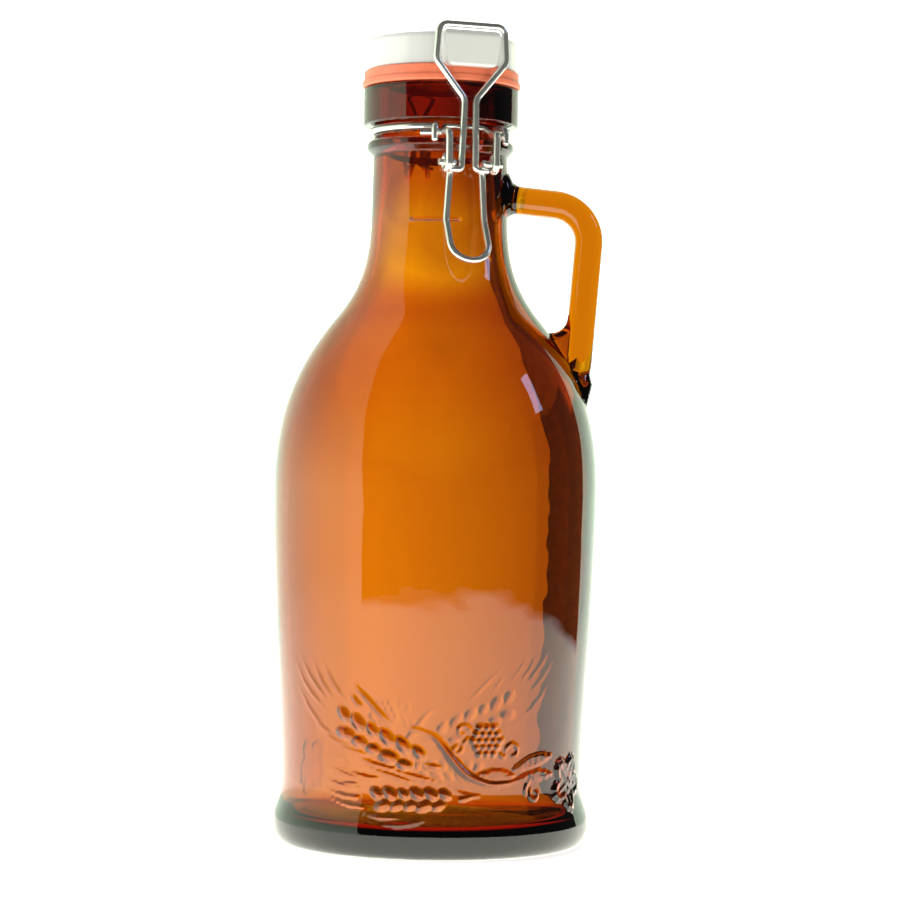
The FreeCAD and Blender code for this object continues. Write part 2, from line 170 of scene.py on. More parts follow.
def leaf(s, z, start, end, half_width, height, bow=0.0):
    """Pointed blade from start to end with a raised edge and midrib."""
    start, end = np.array(start, float), np.array(end, float)
    length = float(np.linalg.norm(end - start))
    unit = (end - start) / length
    along = ((s - start[0]) * unit[0] + (z - start[1]) * unit[1]) / length
    across = (z - start[1]) * unit[0] - (s - start[0]) * unit[1]
    inside = np.clip(along, 0, 1)
    across = across - bow * np.sin(math.pi * inside)
    wide = half_width * np.sin(math.pi * inside) ** 0.8 + 0.01
    rel = np.abs(across) / wide
    blade = np.clip((1 - rel) / 0.25, 0, 1) * (0.55 + 0.45 * np.clip((rel - 0.45) / 0.35, 0, 1))
    rib = 0.9 * np.clip(1 - (across / 0.5) ** 2, 0, 1) * (rel < 1)
    return height * np.maximum(blade, rib) * (along > 0) * (along < 1)


def vine_leaf(s, z, centre, radius, turn, height):
    """Five-lobed leaf with raised veins."""
    u, v = s - centre[0], z - centre[1]
    angle = np.arctan2(v, u) - math.radians(turn)
    reach = np.hypot(u, v)
    lobes = 0.41 * np.abs(np.cos(2.5 * angle)) ** 0.7
    edge = radius * (0.55 + lobes + 0.03 * np.cos(25 * angle))
    rel = reach / edge
    plate = np.clip((1 - rel) / 0.16, 0, 1) * (0.55 + 0.45 * np.clip((rel - 0.6) / 0.25, 0, 1))
    vein = np.abs(np.sin(2.5 * angle)) * reach
    rib = np.clip(1 - (vein / 0.75) ** 2, 0, 1) * (rel < 0.95)
    return height * np.maximum(plate, rib)


def spiral(centre, radius, start, turns, count=22):
    """Tendril's curl, from the outside in."""
    out = []
    for share in np.linspace(0, 1, count):
        angle = math.radians(start + 360 * turns * share)
        reach = radius * (1 - 0.82 * share)
        out.append((centre[0] + reach * math.cos(angle), centre[1] + reach * math.sin(angle)))
    return out


def ear(s, z, start, end, grains, tilts, gap, size, height):
    """Two rows of grains that lean away from the ear's line."""
    start, end = np.array(start, float), np.array(end, float)
    unit = (end - start) / np.linalg.norm(end - start)
    across = np.array((-unit[1], unit[0]))
    out = np.zeros_like(s)
    for row, count in enumerate(grains):
        for index in range(count):
            share = (index + 0.5 * row) / (grains[0] - 1)
            centre = start + (end - start) * share + across * gap * (0.5 - row)
            scale = 0.92 + 0.16 * math.sin(2.3 * index + row)
            out = np.maximum(out, dome(s, z, centre, size[0] / 2 * scale, size[1] / 2 * scale,
                                       tilts[row], height))
    return out


def arc_mm(azimuth):
    """Distance round the wall for an azimuth."""
    return math.radians(azimuth) * RELIEF_RADIUS


def motif(s, z):
    """One spray of wheat, vine and grapes; s is the distance round the wall from -Y."""
    at = lambda azimuth, height: (arc_mm(azimuth), height)
    parts = [
        ear(s, z, at(-34.5, 50.5), at(-5.5, 37.2), (6, 5), (-46, -17), 6.4, (8.0, 4.3), 1.35),
        ear(s, z, at(-19.6, 22.4), at(5.4, 22.7), (6, 5), (-36, 20), 4.1, (6.6, 3.9), 1.25),
    ]
    lines = [
        # awns of the upper ear
        (((-60, 73), (-52, 63), (-41, 54)), 0.9, 0.30),
        (((-56, 75), (-49, 66), (-39.5, 57)), 0.9, 0.30),
        (((-48, 73), (-43, 64.5), (-37, 58)), 0.9, 0.32),
        (((-43, 73), (-38, 65), (-32, 57.5)), 0.9, 0.32),
        (((-31, 67), (-22, 58), (-13.5, 49)), 1.1, 0.60),
        (((-31, 62), (-28, 58.5), (-25, 55.5)), 1.0, 0.50),
        (((-57, 62), (-50, 54), (-42.5, 48)), 0.9, 0.28),
        (((-50, 53), (-44, 48), (-37, 45)), 0.9, 0.28),
        (((-45, 47), (-38, 43.5), (-30, 42)), 0.9, 0.32),
        (((-40, 44.5), (-32, 40.5), (-21, 38.5)), 0.9, 0.36),
        (((-29, 38.5), (-20, 35.2), (-9, 33.5)), 1.0, 0.48),
        (((-2, 35.5), (1, 35.2), (4, 34.8)), 1.0, 0.45),
        # awns of the lower ear
        (((-25, 34.5), (-14, 31.5), (-4, 28.3)), 0.9, 0.36),
        (((-21, 35.2), (-9, 32.2), (4, 28.8)), 0.9, 0.32),
        (((-43, 34.5), (-31, 30.5), (-18.5, 28.4)), 0.9, 0.34),
        (((-34, 33), (-26, 30.8), (-17, 29.8)), 0.9, 0.34),
        (((-43, 29), (-33, 26.4), (-24.5, 26.0)), 0.9, 0.32),
        (((-42, 25), (-33, 23.0), (-23, 22.4)), 0.9, 0.36),
        (((-40, 22), (-31, 19.8), (-19, 18.9)), 1.0, 0.42),
        (((-36, 28), (-30, 27.6), (-25.5, 28.3)), 0.9, 0.30),
        (((-26, 17.4), (-17, 15.9), (-7.5, 16.6)), 1.6, 0.55),
        (((-21.5, 14.2), (-9, 13.6), (2, 16.8)), 1.7, 0.60),
        (((8.5, 23.4), (12, 23.2), (16.5, 24.2)), 1.1, 0.50),
        # vine
        (((7.5, 27.5), (12.5, 24.8), (21, 23.6)), 0.9, 0.25),
    ]
    for path, width, height in lines:
        parts.append(ridge(s, z, smooth_path([at(*point) for point in path]), width * 1.15,
                           height * 1.5, (0.4, 0.3)))
    stem = ((-6.4, 49.2), (-2.5, 48), (2, 45.6), (7.5, 38.4), (11, 34.2), (14.5, 31.4),
            (21.6, 28.6), (27, 28.4), (32.6, 29.4), (38, 31.2), (44, 33.2))
    parts.append(ridge(s, z, smooth_path([at(*point) for point in stem]), 3.2, 1.4, (0.3, 0.6)))
    parts.append(leaf(s, z, at(18, 32.2), at(32.5, 31.2), 1.9, 0.55, 0.5))
    parts.append(leaf(s, z, at(31, 33.2), at(50.5, 38.2), 2.3, 0.65, 0.8))
    parts.append(leaf(s, z, at(32.5, 29.3), at(51, 31.0), 2.0, 0.60, 0.9))
    parts.append(vine_leaf(s, z, at(61.5, 27.2), 12.0, 62, 1.1))
    for row, count in enumerate((3, 4, 5, 4, 3)):
        for index in range(count):
            middle = (index - (count - 1) / 2) * 2.7
            centre = (arc_mm(20.6) + middle, 49.6 - 2.4 * row)
            parts.append(dome(s, z, centre, 1.45, 1.35, 0, 1.0))
    for centre, radius, start, turns, width in (
            ((11.6, 48.3), 2.9, -40, 1.3, 1.0), ((9.6, 41.9), 2.1, 40, -1.2, 1.0),
            ((31.2, 40.6), 3.3, 200, -1.35, 1.0), ((41.6, 24.0), 2.8, 120, 1.3, 1.0)):
        curl = spiral(at(*centre), radius, start, turns)
        parts.append(ridge(s, z, curl, width, 0.55, (0.15, 0.3)))
    for path in (((13.8, 46.5), (12.5, 44.5), (11.8, 43.0)),
                 ((25.5, 40.5), (27, 38.5), (28.6, 39.2)),
                 ((38.5, 22.5), (37.2, 25.5), (39, 29), (44, 31.5))):
        stalk = smooth_path([at(*point) for point in path])
        parts.append(ridge(s, z, stalk, 1.0, 0.45, (0.2, 0.2)))
    return np.max(parts, axis=0)


def relief(azimuth, z):
    """Height of the relief, in mm; the spray is on the front and again, fainter, on the back."""
    out = np.zeros_like(z)
    for middle, share in ((0.0, 1.0), (180.0, 0.5)):
        turned = (azimuth - middle + 180) % 360 - 180
        out = np.maximum(out, share * motif(np.radians(turned) * RELIEF_RADIUS, z))
    return out


def fill_line(azimuth, z):
    """Raised bar on the neck at the nominal fill."""
    inside = np.clip((FILL_LINE_SPAN - np.abs(azimuth - FILL_LINE_AZIMUTH)) / 0.8, 0, 1)
    return FILL_LINE_HEIGHT * inside * np.clip((0.8 - np.abs(z - FILL_LINE_Z)) / 0.3, 0, 1)


# ---- glass mesh --------------------------------------------------------------
def glass_rows():
    """Closed profile from the punt's centre up the outside and down the inside, as
    (radius, height, columns)."""
    wall = np.vstack([bezier(poles, 240) for poles in OUTER_WALL])

    def on_wall(heights, columns=COLUMNS):
        return [(float(np.interp(z, wall[:, 1], wall[:, 0])), float(z), columns) for z in heights]

    punt = bezier(((0, PUNT_HEIGHT), (24, PUNT_HEIGHT), (FOOT_RING_IN - 9, 0), (FOOT_RING_IN, 0)),
                  14)
    rows = [(r, z, COLUMNS) for r, z in punt]
    rows += [(r, 0.0, COLUMNS) for r in FOOT_LOOPS]
    rows += [(r, z, COLUMNS) for r, z in bezier(OUTER_WALL[0], 14)]
    rows += on_wall((9.8, 10.7))
    rows += on_wall(np.linspace(RELIEF_LOW, RELIEF_HIGH, RELIEF_ROWS), 2 * COLUMNS)
    rows += on_wall(np.linspace(RELIEF_HIGH + 2, WIDEST_Z, BODY_ROWS))
    rows += on_wall(np.linspace(WIDEST_Z + 3, FILL_LINE_Z - 2.8, SHOULDER_ROWS))
    rows += on_wall(np.linspace(FILL_LINE_Z - 2, FILL_LINE_Z + 2, FILL_LINE_ROWS))
    rim = spaced(rounded_path(RIM, RIM_BENDS, 18), 3.4)
    rows += [(r, z, COLUMNS) for r, z in rim if z > NECK_TOP - 0.1 or r < INSIDE_RADIUS]
    inner = np.vstack([bezier(poles, 12)[:-1] for poles in INNER_WALL] + [[INNER_WALL[-1][-1]]])
    neck, bore = np.array(INNER_WALL[-1][-1]), np.array(RIM[-1])
    rows += [(*(neck + (bore - neck) * share), COLUMNS) for share in (0.75, 0.5, 0.25)]
    rows += [(r, z, COLUMNS) for r, z in inner[::-1]]
    return rows


def ring_points(rows):
    """Vertices of every ring, pushed out by the relief along the wall's normal."""
    rz = np.array([(r, z) for r, z, _ in rows])
    tangent = np.gradient(rz, axis=0)
    normal = np.stack([tangent[:, 1], -tangent[:, 0]], axis=1)
    normal /= np.linalg.norm(normal, axis=1)[:, None] + 1e-12
    rings = []
    for (r, z, count), (nr, nz) in zip(rows, normal):
        angle = np.arange(count) / count * 2 * math.pi
        azimuth = (np.degrees(angle) + 90 + 180) % 360 - 180
        push = np.zeros(count)
        if count > COLUMNS:
            push = relief(azimuth, np.full(count, z))
            push *= np.clip(min(z - RELIEF_LOW, RELIEF_HIGH - z) / RELIEF_FADE, 0, 1)
        elif abs(z - FILL_LINE_Z) < 2.4 and r > INSIDE_RADIUS:
            push = fill_line(azimuth, np.full(count, z))
        out, up = r + push * nr, z + push * nz
        rings.append(np.stack([out * np.cos(angle), out * np.sin(angle), up], axis=1) * MM)
    return rings


def revolved_mesh(name, rows):
    """Closed body of revolution; a ring may have twice the columns of the one beside it."""
    rings = ring_points(rows)
    verts, starts, faces = [], [], []
    for (r, _, count), ring in zip(rows, rings):
        starts.append(len(verts))
        verts += [tuple(ring[0])] if r < 1e-6 else [tuple(point) for point in ring]
    sizes = [1 if r < 1e-6 else count for r, _, count in rows]
    for index in range(len(rows) - 1):
        low, high, a, b = starts[index], starts[index + 1], sizes[index], sizes[index + 1]
        if a == 1 or b == 1:
            many, start, tip = (b, high, low) if a == 1 else (a, low, high)
            for k in range(many):
                pair = (start + k, start + (k + 1) % many)
                faces.append((tip,) + (pair[::-1] if a == 1 else pair))
        elif a == b:
            for k in range(a):
                n = (k + 1) % a
                faces.append((low + k, low + n, high + n, high + k))
        elif b == 2 * a:
            for k in range(a):
                n = (k + 1) % a
                faces.append((low + k, low + n, high + 2 * n, high + 2 * k + 1, high + 2 * k))
        else:
            for k in range(b):
                n = (k + 1) % b
                faces.append((low + 2 * k, low + 2 * k + 1, low + 2 * n, high + n, high + k))
    return outward(name, verts, faces)


def plain_mesh(name, verts, faces):
    mesh = bpy.data.meshes.new(name)
    mesh.from_pydata(verts, [], faces)
    return mesh


def outward(name, verts, faces):
    """Closed mesh with its faces turned outward."""
    mesh = plain_mesh(name, verts, faces)
    bm = bmesh.new()
    bm.from_mesh(mesh)
    bmesh.ops.recalc_face_normals(bm, faces=bm.faces)
    if bm.calc_volume(signed=True) < 0:
        bmesh.ops.reverse_faces(bm, faces=bm.faces)
    bm.to_mesh(mesh)
    bm.free()
    return mesh


def between_loops(loops, count):
    """Quads that join successive closed loops of count vertices."""
    faces = []
    for start in range(0, (loops - 1) * count, count):
        for k in range(count):
            n = (k + 1) % count
            faces.append((start + k, start + n, start + count + n, start + count + k))
    return faces


def capped_loops(name, verts, count):
    """Solid whose vertices are loops of count, the first and last closed by a face."""
    faces = between_loops(len(verts) // count, count)
    faces.append(tuple(range(count)))
    faces.append(tuple(reversed(range(len(verts) - count, len(verts)))))
    return outward(name, verts, faces)


def linked(name, mesh):
    obj = bpy.data.objects.new(name, mesh)
    bpy.context.scene.collection.objects.link(obj)
    return obj


def handle_mesh(wall):
    """Handle swept along its route, its section spreading where it meets the wall."""
    path = spaced(rounded_path(HANDLE_ROUTE, HANDLE_BENDS, 6), 2.0)
    path = path[path[:, 0] > 0]
    tangent = np.gradient(path, axis=0)
    tangent /= np.linalg.norm(tangent, axis=1)[:, None]
    half_thick, half_wide = HANDLE_THICK / 2, HANDLE_WIDE / 2
    section = []
    for corner, (su, sv) in enumerate(((1, 1), (-1, 1), (-1, -1), (1, -1))):
        for step in range(8):
            turn = math.radians(90 * corner + 90 * (step + 0.5) / 8)
            section.append((su * (half_thick - HANDLE_ROUND) + HANDLE_ROUND * math.cos(turn),
                            sv * (half_wide - HANDLE_ROUND) + HANDLE_ROUND * math.sin(turn)))
    verts = []
    for (r, z), (tr, tz) in zip(path, tangent):
        away = r - float(np.interp(z, wall[:, 1], wall[:, 0]))
        fillet = UPPER_FILLET if z > HANDLE_MIDDLE_Z else LOWER_FILLET
        near = min(max(away, 0.0), fillet)
        extra = fillet - math.sqrt(fillet ** 2 - (fillet - near) ** 2)
        for u, v in section:
            u, v = u * (1 + extra / half_thick), v * (1 + extra / half_wide)
            verts.append(((r - tz * u) * MM, v * MM, (z + tr * u) * MM))
    return capped_loops("handle_sweep", verts, len(section))


def handle_web():
    """Glass that fills the sharp corner under the finger opening, its edges rounded."""
    turns = [math.radians(angle) for angle in np.linspace(188, 364, 25)]
    layers = [(WEB_HALF - WEB_EDGE + WEB_EDGE * math.sin(t), WEB_EDGE * (1 - math.cos(t)))
              for t in np.linspace(0, math.pi / 2, 6)]
    layers = [(-y, inset) for y, inset in reversed(layers)] + layers
    verts = []
    for y, inset in layers:
        reach = WEB_HOLLOW + inset
        ring = [(WEB_CENTRE[0] + reach * math.cos(t), WEB_CENTRE[1] + reach * math.sin(t))
                for t in turns]
        ring += WEB_OUTLINE
        verts += [(r * MM, y * MM, z * MM) for r, z in ring]
    return capped_loops("handle_web", verts, len(ring))


def boolean(obj, other, operation):
    """Joins other to obj or cuts it away; other is then removed."""
    modifier = obj.modifiers.new("cut", "BOOLEAN")
    modifier.operation, modifier.object, modifier.solver = operation, other, "EXACT"
    modifier.material_mode = "TRANSFER"
    graph = bpy.context.evaluated_depsgraph_get()
    mesh = bpy.data.meshes.new_from_object(obj.evaluated_get(graph))
    obj.modifiers.clear()
    obj.data = mesh
    bpy.data.objects.remove(other)


# ---- materials ---------------------------------------------------------------
def material(name):
    """New node material, with its tree, shader and output."""
    made = bpy.data.materials.new(name)
    made.use_nodes = True
    tree = made.node_tree
    return made, tree, tree.nodes["Principled BSDF"], tree.nodes["Material Output"]


def add(tree, kind, links=(), **values):
    """New node, with (input, source) links; values are inputs or properties."""
    node = tree.nodes.new(kind)
    for key, value in values.items():
        if key in node.inputs:
            node.inputs[key].default_value = value
        else:
            setattr(node, key, value)
    for socket, source in links:
        tree.links.new(source, node.inputs[socket])
    return node


def noise(tree, coords, scale, detail=3.0, roughness=0.5):
    node = add(tree, "ShaderNodeTexNoise", [("Vector", coords)])
    node.inputs["Scale"].default_value = scale
    node.inputs["Detail"].default_value = detail
    node.inputs["Roughness"].default_value = roughness
    return node.outputs["Fac"]


def bump(tree, shader, height, strength, distance):
    node = tree.nodes.new("ShaderNodeBump")
    node.inputs["Strength"].default_value = strength
    node.inputs["Distance"].default_value = distance
    tree.links.new(height, node.inputs["Height"])
    tree.links.new(node.outputs["Normal"], shader.inputs["Normal"])


def amber(name, density, colour):
    """Clear glass with a faint wave that colours light by absorption."""
    made, tree, shader, output = material(name)
    shader.inputs["Base Color"].default_value = (1, 1, 1, 1)
    shader.inputs["Transmission Weight"].default_value = 1.0
    shader.inputs["Roughness"].default_value = 0.0
    shader.inputs["IOR"].default_value = 1.52
    coords = tree.nodes.new("ShaderNodeTexCoord").outputs["Object"]
    wave = noise(tree, coords, 38.0, 2.0, 0.4)
    bump(tree, shader, wave, 0.35, 0.0006)
    absorb = tree.nodes.new("ShaderNodeVolumeAbsorption")
    absorb.inputs["Color"].default_value = (*colour, 1)
    absorb.inputs["Density"].default_value = density
    tree.links.new(absorb.outputs["Volume"], output.inputs["Volume"])
    return made


def glow(name, colour, strength):
    """Plain emission."""
    made = bpy.data.materials.new(name)
    made.use_nodes = True
    tree = made.node_tree
    tree.nodes.clear()
    light = tree.nodes.new("ShaderNodeEmission")
    light.inputs["Color"].default_value = (*colour, 1)
    light.inputs["Strength"].default_value = strength
    output = tree.nodes.new("ShaderNodeOutputMaterial")
    tree.links.new(light.outputs["Emission"], output.inputs["Surface"])
    return made


BODY_ABSORPTION = (0.118, 0.332, 1.10)       # per millimetre of glass, red, green, blue
# the handle's glass is a lighter copy of the same amber glass, absorbing less per millimetre:
# painted light for the brighter light that shows through the handle
HANDLE_LIT_ABSORPTION = (0.080, 0.185, 0.80)


def absorption(per_mm):
    """Density and colour of a volume that absorbs per_mm of each channel."""
    density = max(per_mm) / MM
    return density, tuple(1 - value / MM / density for value in per_mm)


glass = amber("amber_glass_body", *absorption(BODY_ABSORPTION))
handle_glass_lit = amber("amber_glass_handle_lit", *absorption(HANDLE_LIT_ABSORPTION))

wall_line = np.vstack([bezier(poles, 60) for poles in OUTER_WALL] + [[RIM[1]]])
bottle = linked("growler_glass", revolved_mesh("growler_glass", glass_rows()))
bottle.data.materials.append(glass)
grip = linked("grip", handle_mesh(wall_line))
grip.data.materials.append(handle_glass_lit)
web = linked("web", handle_web())
web.data.materials.append(glass)
boolean(grip, web, "UNION")
core_rows = [(0.0, CORE_LOW, COLUMNS)]
for z in np.linspace(CORE_LOW, CORE_HIGH, 60):
    wall = float(np.interp(z, wall_line[:, 1], wall_line[:, 0]))
    core_rows.append((wall - CORE_INSET, float(z), COLUMNS))
core_rows.append((0.0, CORE_HIGH, COLUMNS))
boolean(grip, linked("core", revolved_mesh("core", core_rows)), "DIFFERENCE")
boolean(bottle, grip, "UNION")
bottle.data.shade_smooth()
weighted = bottle.modifiers.new("normals", "WEIGHTED_NORMAL")
weighted.keep_sharp = False
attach(bottle, "bottle")
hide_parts("bottle", "handle")


def finish_node(name, made):
    """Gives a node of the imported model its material."""
    data = nodes[name].data
    data.materials.clear()
    data.materials.append(made)


steel, tree, shader, _ = material("polished_wire")
shader.inputs["Base Color"].default_value = (0.80, 0.80, 0.78, 1)
shader.inputs["Metallic"].default_value = 0.92
coords = tree.nodes.new("ShaderNodeTexCoord").outputs["Object"]
fine = noise(tree, coords, 900.0, 2.0, 0.6)
spread = add(tree, "ShaderNodeMapRange", [("Value", fine)])
spread.inputs["To Min"].default_value, spread.inputs["To Max"].default_value = 0.16, 0.30
tree.links.new(spread.outputs["Result"], shader.inputs["Roughness"])
bump(tree, shader, fine, 0.05, 0.0001)
for name in ("neck_band", "front_yoke", "lever", "draw_loop", "hinge_loop"):
    finish_node(name, steel)

ceramic, tree, shader, _ = material("glazed_ceramic")
coords = tree.nodes.new("ShaderNodeTexCoord").outputs["Object"]
ramp = add(tree, "ShaderNodeValToRGB", [("Fac", noise(tree, coords, 55.0, 4.0, 0.55))])
ramp.color_ramp.elements[0].color = (0.57, 0.57, 0.57, 1)
ramp.color_ramp.elements[1].color = (0.66, 0.65, 0.65, 1)
tree.links.new(ramp.outputs["Color"], shader.inputs["Base Color"])
shader.inputs["Roughness"].default_value = 0.22
shader.inputs["Coat Weight"].default_value = 0.6
shader.inputs["Coat Roughness"].default_value = 0.04
bump(tree, shader, noise(tree, coords, 160.0, 2.0, 0.5), 0.12, 0.0004)
finish_node("lid", ceramic)

rubber, tree, shader, _ = material("coral_rubber")
coords = tree.nodes.new("ShaderNodeTexCoord").outputs["Object"]
ramp = add(tree, "ShaderNodeValToRGB", [("Fac", noise(tree, coords, 320.0, 4.0, 0.6))])
ramp.color_ramp.elements[0].color = (0.62, 0.115, 0.05, 1)
ramp.color_ramp.elements[1].color = (0.80, 0.20, 0.10, 1)
tree.links.new(ramp.outputs["Color"], shader.inputs["Base Color"])
shader.inputs["Roughness"].default_value = 0.42
bump(tree, shader, noise(tree, coords, 700.0, 3.0, 0.6), 0.35, 0.0004)
finish_node("gasket", rubber)

# ---- floor, backdrop and studio surroundings ---------------------------------
TABLE_LIGHT = 2.8
TABLE_REACH = 0.69      # how far the white table runs before the dark room starts
DARK_AXIS = Vector((0.594, -0.7335, 0.1707)).normalized()   # middle of the dark half of the room
TABLE_RING = 0.035      # width of each ring in which it fades out, as a share of that
TABLE_WIDER = 0.10      # how much further it runs towards +X
TABLE_START, TABLE_END = -51, 129       # azimuths of the table's edge that the glass reflects
ROOM = 2.6
ROOM_CENTRE = Vector((0, 0, 0.14))
CURTAIN_REACH, BACKDROP_REACH = 1.0, 1.1
CARD_LEAN, CARD_WEB_EDGE, CARD_WEB_TOP = 0.35, 0.0505, 0.2035   # the card's edge beside the web
BACKDROP_RISE = 0.5     # how far the backdrop's bands rise per distance from the middle


def staged(name, mesh, made, camera=False, diffuse=False, glossy=False, transmission=False):
    """Puts a piece of the studio in the scene, seen only by the kinds of ray that are named."""
    obj = linked(name, mesh)
    obj.data.materials.append(made)
    obj.visible_camera, obj.visible_diffuse = camera, diffuse
    obj.visible_glossy, obj.visible_transmission = glossy, transmission
    obj.visible_shadow = obj.visible_volume_scatter = False


def half_dome(name, radius, way=1):
    """Half a sphere about the bottle: the dark half of the room, or with way -1 the white half."""
    turn = (DARK_AXIS * way).to_track_quat("Z", "Y").to_matrix()
    verts, around, steps = [], 64, 16
    for row in range(steps + 1):
        tilt = math.radians(90 * row / steps)
        for k in range(around):
            turned = 2 * math.pi * k / around
            local = Vector((math.sin(tilt) * math.cos(turned), math.sin(tilt) * math.sin(turned),
                            math.cos(tilt)))
            verts.append(tuple(turn @ local * radius + ROOM_CENTRE))
    return plain_mesh(name, verts, between_loops(steps + 1, around))


def strip(name, verts):
    """Mesh of a strip whose vertices come in pairs."""
    return plain_mesh(name, verts, [(k, k + 1, k + 3, k + 2) for k in range(0, len(verts) - 2, 2)])


def sector(name, inner, outer, start, end, height, wider=0.0):
    """Flat part of a ring on the floor, between two azimuths from -Y towards +X.

    From azimuth 0 to 90 it widens by the share wider."""
    verts, steps = [], 48
    for k in range(steps + 1):
        azimuth = start + (end - start) * k / steps
        turn = math.radians(azimuth)
        for reach in (inner, outer):
            reach *= 1 + wider * min(max(azimuth / 90, 0), 1)
            verts.append((reach * math.sin(turn), -reach * math.cos(turn), height))
    return strip(name, verts)


def curtain(name, reach, start, end, low, high):
    """Upright part of a cylinder about the bottle, between two azimuths from -Y towards +X."""
    verts, steps = [], 32
    for k in range(steps + 1):
        turn = math.radians(start + (end - start) * k / steps)
        for height in (low, high):
            verts.append((reach * math.sin(turn), -reach * math.cos(turn), height))
    return strip(name, verts)


def beside_wall(name, gap, right, depth, low, high):
    """Flat upright card facing -Y, its left edge beside the body and clear of the web."""
    verts = []
    for height in np.linspace(low, high, 25):
        wall = float(np.interp(height / MM, wall_line[:, 1], wall_line[:, 0])) * MM
        left = max(wall + gap, CARD_WEB_EDGE + CARD_LEAN * (CARD_WEB_TOP - float(height)))
        verts += [(left, depth, float(height)), (right, depth, float(height))]
    return strip(name, verts)


def pane(name, azimuth, elevation, width, height, reach):
    """Upright pane seen from the bottle in a direction; its size is in degrees."""
    a, e = math.radians(azimuth), math.radians(elevation)
    to = Vector((math.sin(a) * math.cos(e), -math.cos(a) * math.cos(e), math.sin(e)))
    side = Vector((math.cos(a), math.sin(a), 0)) * reach * math.tan(math.radians(width / 2))
    up = side.cross(to).normalized()
    up = up * (1 if up.z > 0 else -1) * reach * math.tan(math.radians(height / 2))
    centre = to * reach + ROOM_CENTRE
    corners = [centre - side - up, centre + side - up, centre + side + up, centre - side + up]
    return plain_mesh(name, [tuple(corner) for corner in corners], [(0, 1, 2, 3)])


def graded(tree, along, low, high, stops):
    """Colour that changes along one coordinate, from (position, colour) stops."""
    span = add(tree, "ShaderNodeMapRange", [("Value", along)])
    span.inputs["From Min"].default_value, span.inputs["From Max"].default_value = low, high
    ramp = add(tree, "ShaderNodeValToRGB", [("Fac", span.outputs["Result"])])
    marks = ramp.color_ramp.elements
    while len(marks) < len(stops):
        marks.new(0.5)
    for mark, (place, colour) in zip(marks, stops):
        mark.position = (place - low) / (high - low)
        mark.color = (*colour, 1.0)
    return ramp.outputs["Color"]


def graded_glow(name, strength):
    """Emission whose colour is still to be linked, with its tree, colour socket and the
    object's own coordinates."""
    made = glow(name, (1, 1, 1), strength)
    tree = made.node_tree
    light = next(node for node in tree.nodes if node.type == "EMISSION")
    coords = tree.nodes.new("ShaderNodeTexCoord").outputs["Object"]
    return made, tree, light.inputs["Color"], coords


def graded_backdrop():
    """Light behind the bottle as the glass shows it: strongest left of the middle and higher up."""
    made, tree, light, coords = graded_glow("backdrop", 5.0)
    apart = add(tree, "ShaderNodeSeparateXYZ", [("Vector", coords)])
    across = graded(tree, apart.outputs["X"], -0.25, 0.25, [
        (-0.25, (0.62, 0.78, 0.72)), (-0.15, (0.78, 0.97, 0.88)), (-0.07, (0.77, 0.86, 0.82)),
        (-0.02, (0.64, 0.65, 0.64)), (0.03, (0.53, 0.54, 0.53)), (0.13, (0.36, 0.36, 0.36))])
    aside = add(tree, "ShaderNodeMath", [(0, apart.outputs["X"])], operation="ABSOLUTE")
    arched = add(tree, "ShaderNodeMath", [(0, aside.outputs["Value"]), (2, apart.outputs["Z"])],
                 operation="MULTIPLY_ADD")
    arched.inputs[1].default_value = -BACKDROP_RISE
    up = graded(tree, arched.outputs["Value"], 0.0, 0.4, [
        (0.05, (0.48, 0.50, 0.50)), (0.14, (0.45, 0.46, 0.46)), (0.245, (0.56, 0.78, 0.75)),
        (0.32, (0.41, 0.49, 0.45)), (0.39, (0.46, 0.65, 0.64))])
    product = tree.nodes.new("ShaderNodeVectorMath")
    product.operation = "MULTIPLY"
    tree.links.new(across, product.inputs[0])
    tree.links.new(up, product.inputs[1])
    tree.links.new(product.outputs["Vector"], light)
    return made


def graded_left_light():
    """White half of the room, dimmer with height."""
    made, tree, light, coords = graded_glow("left_light", 2.0)
    apart = add(tree, "ShaderNodeSeparateXYZ", [("Vector", coords)])
    colour = graded(tree, apart.outputs["Z"], 0.0, 2.5, [
        (0.1, (0.85, 1.0, 0.80)), (0.6, (0.68, 0.79, 0.60)), (1.4, (0.42, 0.48, 0.33)),
        (2.2, (0.40, 0.42, 0.33))])
    tree.links.new(colour, light)
    return made


def graded_table():
    """White table as the glass reflects it, dimmer away from the bottle."""
    made, tree, light, coords = graded_glow("lit_table", TABLE_LIGHT)
    reach = tree.nodes.new("ShaderNodeVectorMath")
    reach.operation = "LENGTH"
    tree.links.new(coords, reach.inputs[0])
    colour = graded(tree, reach.outputs["Value"], 0.0, 2.0, [
        (0.25, (1.0, 1.0, 0.88)), (0.6, (0.86, 0.88, 0.76)), (1.3, (0.64, 0.70, 0.58))])
    tree.links.new(colour, light)
    return made


def floor_plane(name, height, half=6):
    corners = [(-half, -half, height), (half, -half, height), (half, half, height),
               (-half, half, height)]
    return plain_mesh(name, corners, [(0, 1, 2, 3)])


# dark emission for the dark half of the room, and also the painted shadow under the base
dark = glow("dark_room_and_painted_shadow", (1, 1, 1), 0.05)
black = glow("black_card", (0.8, 1, 0.9), 0.012)
dim = glow("dim_room", (1, 0.99, 0.96), 0.45)
staged("dark_half", half_dome("dark_half", ROOM), dark, glossy=True)
staged("dim_half", half_dome("dim_half", ROOM), dim, diffuse=True)

# past its edge the table fades in rings, and the last runs on to the wall of the room
TABLE_FADE = (0.75, 0.5, 0.3, 0.15)
for ring, share in enumerate(TABLE_FADE + (0.05,)):
    name = "beyond_table_" + str(ring)
    last = ring == len(TABLE_FADE)
    inner = TABLE_REACH * (1.0 + TABLE_RING * ring)
    outer = ROOM if last else TABLE_REACH * (1.0 + TABLE_RING * (ring + 1))
    flat = sector(name, inner, outer, TABLE_START, TABLE_END, height=0.001, wider=TABLE_WIDER)
    staged(name, flat, glow(name, (1, 0.98, 0.95), share if last else TABLE_LIGHT * share),
           glossy=True)

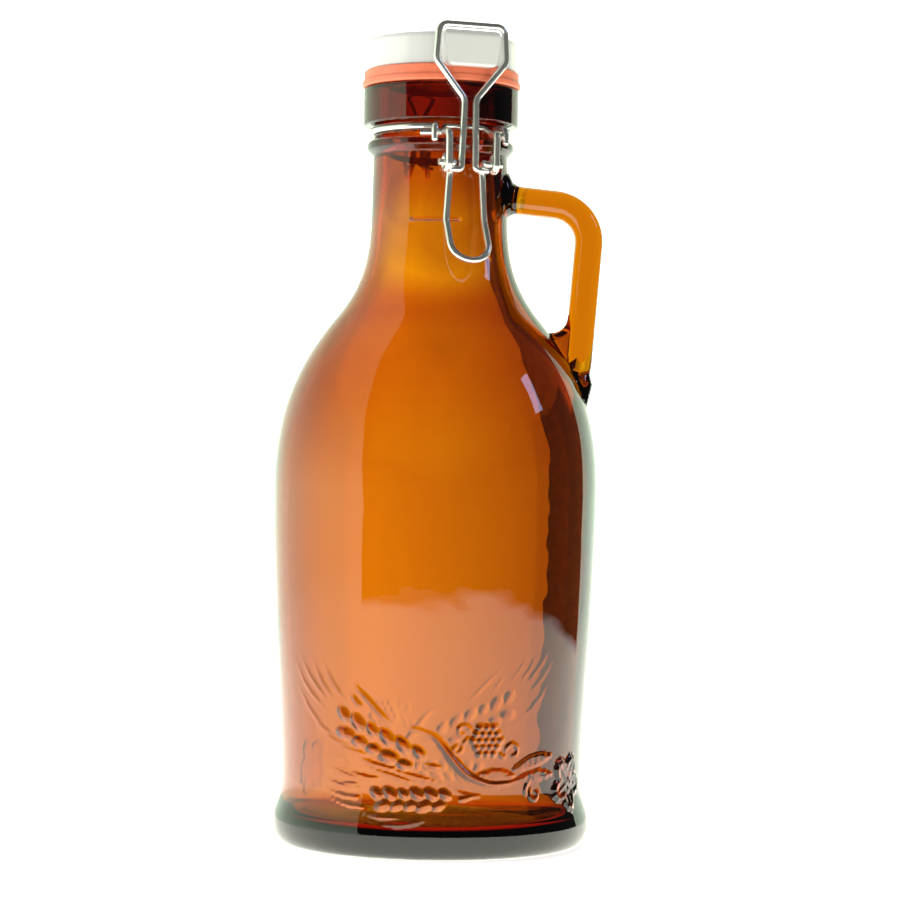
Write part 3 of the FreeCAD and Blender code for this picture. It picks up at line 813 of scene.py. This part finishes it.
# black curtains that only refracted rays meet: azimuths from and to, and the top
for name, start, end, top in (("side_panel", 78, 163, 0.60), ("edge_panel", 163, 168.5, 0.50),
                              ("low_panel", 168.5, 172.0, 0.335)):
    staged(name, curtain(name, CURTAIN_REACH, start, end, -0.3, top), black, transmission=True)
staged("backdrop", curtain("backdrop", BACKDROP_REACH, start=160, end=225, low=-0.9, high=0.9),
       graded_backdrop(), transmission=True)
card = beside_wall("handle_card", gap=0.001, right=0.090, depth=0.010, low=0.183, high=0.264)
staged("handle_card", card, glow("handle_card", (1, 1, 0.9), 1.8), transmission=True)
# painted shadow: a dark disc under the base, seen only through the glass, stands in for the shade
# beneath the bottle
painted_shadow_disc = sector("painted_shadow_under_base", inner=0.0, outer=0.053, start=0, end=360, height=0.0005)
staged("painted_shadow_under_base", painted_shadow_disc, dark, transmission=True)
staged("left_light", half_dome("left_light", ROOM + 0.1, -1), graded_left_light(), glossy=True)
window = pane("window_pane", azimuth=87, elevation=31, width=8, height=15, reach=2.0)
staged("window_pane", window, glow("window", (0.50, 0.62, 1.0), 6.0), glossy=True)

floor_made, tree, shader, _ = material("pale_floor")
shader.inputs["Base Color"].default_value = (0.93, 0.93, 0.93, 1)
shader.inputs["Roughness"].default_value = 0.6
shader.inputs["Emission Color"].default_value = (1, 1, 1, 1)
shader.inputs["Emission Strength"].default_value = 0.7
staged("floor", floor_plane("floor", 0.0), floor_made, camera=True)
staged("lit_table", floor_plane("lit_table", -0.0002), graded_table(), diffuse=True, glossy=True)

world = bpy.data.worlds.new("studio")
bpy.context.scene.world = world
world.use_nodes = True
background = world.node_tree.nodes["Background"]
background.inputs["Color"].default_value = (1, 1, 1, 1)
background.inputs["Strength"].default_value = WHITE

# ---- camera ------------------------------------------------------------------
CAMERA_PLACE = (0.0055, -1.126, 0.140)
CAMERA_TILT, CAMERA_ROLL = 90.677, 0.863        # degrees
CAMERA_LENS = 115.1                             # millimetres, on a sensor 36 wide
camera = bpy.data.objects.new("camera", bpy.data.cameras.new("camera"))
bpy.context.scene.collection.objects.link(camera)
camera.data.sensor_width, camera.data.lens = 36.0, CAMERA_LENS
camera.data.dof.use_dof = False
camera.matrix_world = (Matrix.Translation(CAMERA_PLACE)
                       @ Matrix.Rotation(math.radians(CAMERA_TILT), 4, "X")
                       @ Matrix.Rotation(math.radians(CAMERA_ROLL), 4, "Z"))
bpy.context.scene.camera = camera
bpy.context.scene.view_settings.view_transform = "Standard"
